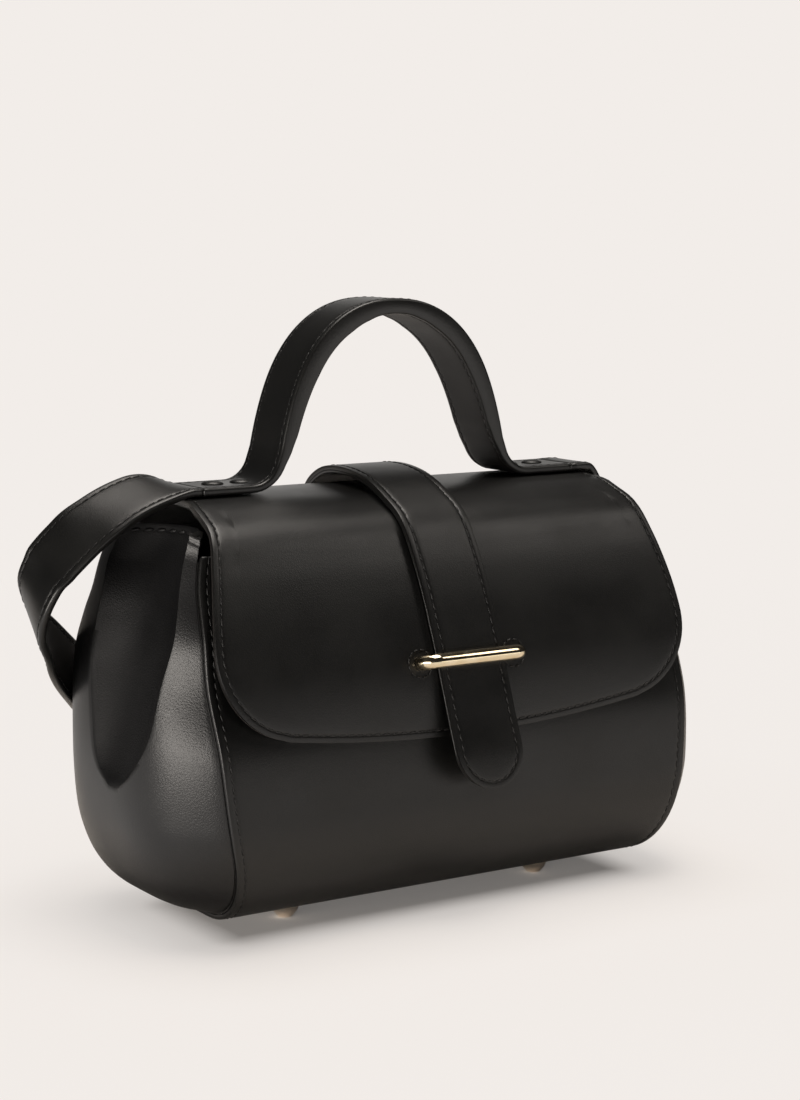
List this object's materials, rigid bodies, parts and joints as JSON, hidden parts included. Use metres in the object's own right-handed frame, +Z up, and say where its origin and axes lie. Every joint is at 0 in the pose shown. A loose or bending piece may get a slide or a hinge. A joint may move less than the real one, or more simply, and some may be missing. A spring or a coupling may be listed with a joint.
{
  "type": "leather handbag",
  "caption": "Structured leather handbag with moulded side gussets, a front flap closed by a strap threaded through a metal loop, a riveted top handle and a long shoulder strap.",
  "frame": {"origin": "on the floor, at the middle of the whole bag's width and depth, without the shoulder strap", "axes": "+X along the width, +Y from the front to the back, +Z up"},
  "size_m": [0.34, 0.19, 0.2873],
  "materials": {
    "smooth_leather": "smooth black leather with a satin gloss",
    "grained_leather": "moulded black leather with a fine grain",
    "suede": "dark suede",
    "fibre_board": "bonded leather fibre board",
    "pale_gold": "polished, pale gold plating",
    "steel": "nickel plated",
    "black_metal": "black lacquer"
  },
  "bodies": {
    "bag": {"main_panel": "smooth_leather", "body_lining": "suede", "left_gusset": "grained_leather", "right_gusset": "grained_leather", "base_board": "fibre_board", "feet": "pale_gold", "foot_nuts": "steel", "panel_magnet": "steel", "magnet_washer": "steel", "shoulder_strap": "smooth_leather"},
    "flap": {"flap": "smooth_leather", "flap_lining": "suede", "crest_stiffener": "fibre_board", "handle": "smooth_leather", "handle_lining": "smooth_leather", "rivets": "black_metal", "rivet_backs": "steel", "closure_loop": "pale_gold", "loop_plate": "steel", "loop_nuts": "steel", "flap_magnet": "steel", "strap_base": "smooth_leather", "strap_base_lining": "smooth_leather"},
    "closing_strap": {"closure_strap": "smooth_leather", "closure_strap_lining": "smooth_leather", "strap_tongue": "smooth_leather", "strap_tongue_lining": "smooth_leather"}
  },
  "joints": [
    {"name": "flap_hinge", "type": "hinge", "parent": "bag", "child": "flap", "pos_m": [0, 0.05961, 0.1745], "axis": [-1, 0, 0], "range_deg": [0, 105], "deforming": ["shoulder_strap"]},
    {"name": "strap_lift", "type": "hinge", "parent": "flap", "child": "closing_strap", "pos_m": [0, -0.02124, 0.19715], "axis": [-1, 0, 0], "range_deg": [0, 75], "deforming": ["strap_tongue", "strap_tongue_lining"]}
  ]
}
